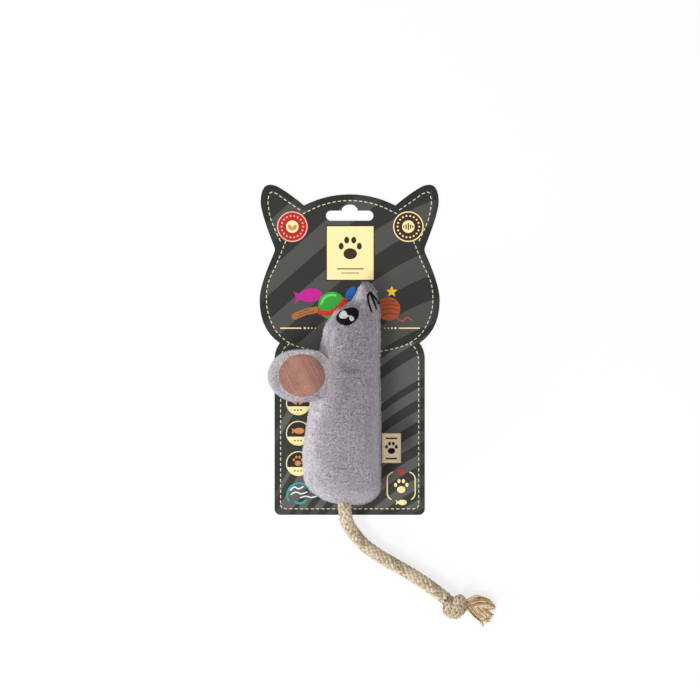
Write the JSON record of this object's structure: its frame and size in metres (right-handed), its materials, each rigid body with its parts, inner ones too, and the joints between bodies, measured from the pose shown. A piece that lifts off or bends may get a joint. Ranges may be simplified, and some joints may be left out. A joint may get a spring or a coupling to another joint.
{
  "type": "plush mouse cat toy on hang card",
  "caption": "Stuffed plush mouse for cats with a round ear, side label and knotted rope tail, held by adhesive dots on a die-cut hanging card with a peg slot.",
  "frame": {"origin": "middle of the card's outline, on its flat back face (z = 0), which is the face that the toy and card lie on", "axes": "+Y towards the card's ears and the mouse's nose, +X to the right as the card is read, +Z out of the card's printed front, towards the toy"},
  "size_m": [0.1592, 0.2979, 0.0318],
  "materials": {
    "printed_card": "satin",
    "adhesive": "gloss",
    "grey_plush": "matte",
    "filling": "matte",
    "drum_plastic": "satin",
    "ball_plastic": "gloss",
    "sachet_cloth": "matte",
    "ear_thread": "satin",
    "black_thread": "satin",
    "pale_thread": "satin",
    "label_tape": "matte",
    "rope_cotton": "matte",
    "frayed_rope": "matte"
  },
  "bodies": {
    "card": {"hang_card": "printed_card", "adhesive_dot_upper": "adhesive", "adhesive_dot_lower": "adhesive"},
    "toy": {"front_panel": "grey_plush", "back_panel": "grey_plush", "fibre_fill": "filling", "rattle_cup": "drum_plastic", "rattle_lid": "drum_plastic", "silver_vine_sachet": "sachet_cloth", "tail_anchor": "rope_cotton", "eye_patch": "black_thread", "eye_highlight_large": "pale_thread", "eye_highlight_small": "pale_thread", "whisker_stitches": "black_thread"},
    "ball": {"rattle_ball": "ball_plastic"},
    "ear": {"ear_front_layer": "grey_plush", "ear_back_layer": "grey_plush", "ear_wadding": "filling", "ear_patch": "ear_thread"},
    "label": {"side_label": "label_tape"},
    "tail": {"tail_rope": "rope_cotton", "tail_knot": "rope_cotton", "tail_tassel": "frayed_rope"}
  },
  "joints": [
    {"name": "toy_lifts_off", "type": "slide", "parent": "card", "child": "toy", "axis": [0, 0, 1], "range_m": [0, 0.06]},
    {"name": "ear_flop", "type": "hinge", "parent": "toy", "child": "ear", "pos_m": [-0.0146, -0.0173, 0.0265], "axis": [0, 1, 0], "range_deg": [0, 60]},
    {"name": "label_fold", "type": "hinge", "parent": "toy", "child": "label", "pos_m": [0.02265, -0.066, 0.0162], "axis": [0, -1, 0], "range_deg": [-60, 70], "stiffness_Nm_per_rad": 0.0003},
    {"name": "tail_swing", "type": "hinge", "parent": "toy", "child": "tail", "pos_m": [-0.0033, -0.1094, 0.0165], "axis": [0, 0, 1], "range_deg": [-40, 28]},
    {"name": "ball_rolls", "type": "slide", "parent": "toy", "child": "ball", "axis": [1, 0, 0], "range_m": [-0.005, 0.005]}
  ]
}
